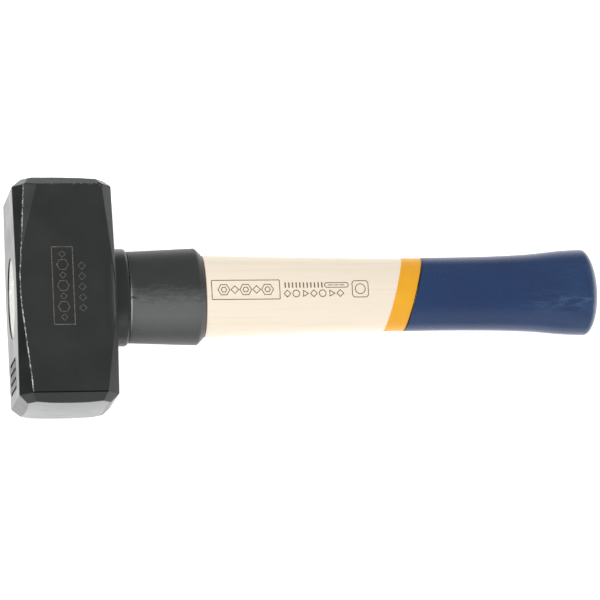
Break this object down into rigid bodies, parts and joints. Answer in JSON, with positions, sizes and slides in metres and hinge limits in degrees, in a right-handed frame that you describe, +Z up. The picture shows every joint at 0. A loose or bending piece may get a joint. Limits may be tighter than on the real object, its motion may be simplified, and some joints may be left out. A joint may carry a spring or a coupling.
{
  "type": "club hammer",
  "caption": "One-hand club hammer: square bevelled steel head with crowned faces on a wedged oval hickory handle with guard sleeve and dipped grip.",
  "frame": {"origin": "middle of the cheek that the hammer lies on, under the middle of the eye", "axes": "+X along the handle towards the butt, +Y along the head from striking face to striking face, +Z up out of the resting cheek"},
  "size_m": [0.26, 0.1006, 0.043],
  "materials": {
    "black_lacquer": "glossy black lacquer on forged steel",
    "face_steel": "ground striking faces under clear lacquer",
    "hickory": "sanded and waxed pale hickory",
    "wedge_wood": "sawn hardwood end grain",
    "wedge_steel": "plain steel",
    "sleeve_plastic": "moulded dark grey plastic with a soft sheen",
    "yellow_band": "satin yellow paint",
    "blue_grip": "satin blue dip coat"
  },
  "bodies": {
    "root": {"head": "black_lacquer", "handle": "hickory", "wooden_wedge": "wedge_wood", "steel_wedge": "wedge_steel", "handle_sleeve": "sleeve_plastic", "band_coat": "yellow_band", "grip_coat": "blue_grip"}
  },
  "joints": []
}
